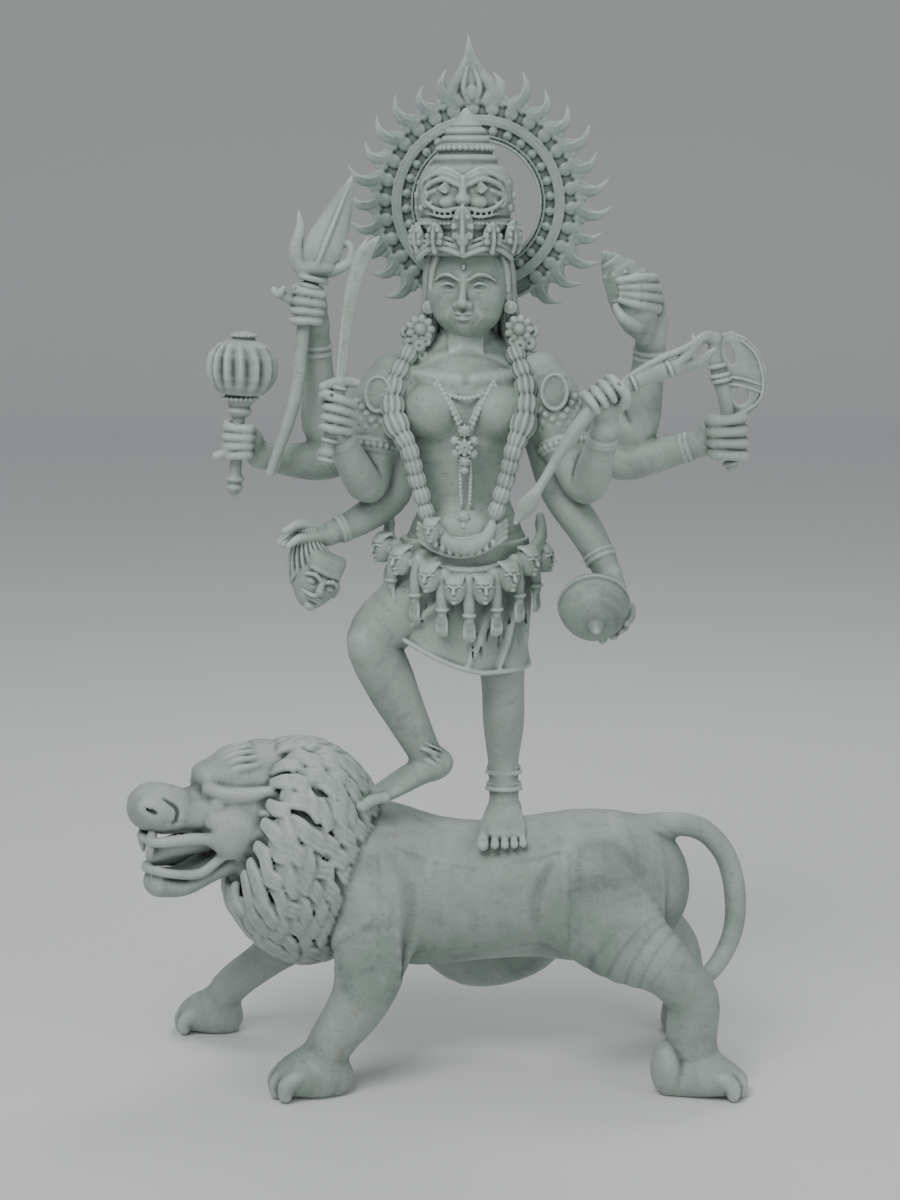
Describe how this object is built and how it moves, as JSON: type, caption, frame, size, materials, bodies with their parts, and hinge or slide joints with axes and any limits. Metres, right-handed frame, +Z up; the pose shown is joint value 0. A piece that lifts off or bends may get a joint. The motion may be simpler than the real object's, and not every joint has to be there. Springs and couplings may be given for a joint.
{
  "type": "goddess statue",
  "caption": "Many-armed bronze goddess standing on the back of a walking lion, with a ring of flames behind the head and implements in the fists.",
  "frame": {"origin": "under the middle of the statue, on the ground that the lion's paws stand on", "axes": "+Z up, -Y the side that the goddess faces, +X towards the lion's tail"},
  "size_m": [0.6252, 0.2616, 1.0347],
  "materials": {
    "lion_bronze": "pale green patina, matt",
    "figure_bronze": "pale green patina, matt",
    "halo_bronze": "grey-green patina, matt",
    "implement_bronze": "pale green patina, matt"
  },
  "bodies": {
    "root": {"lion": "lion_bronze", "goddess": "figure_bronze", "flame_halo": "halo_bronze", "mace": "implement_bronze", "trident": "implement_bronze", "scimitar": "implement_bronze", "bow": "implement_bronze", "battle_axe": "implement_bronze"}
  },
  "joints": []
}
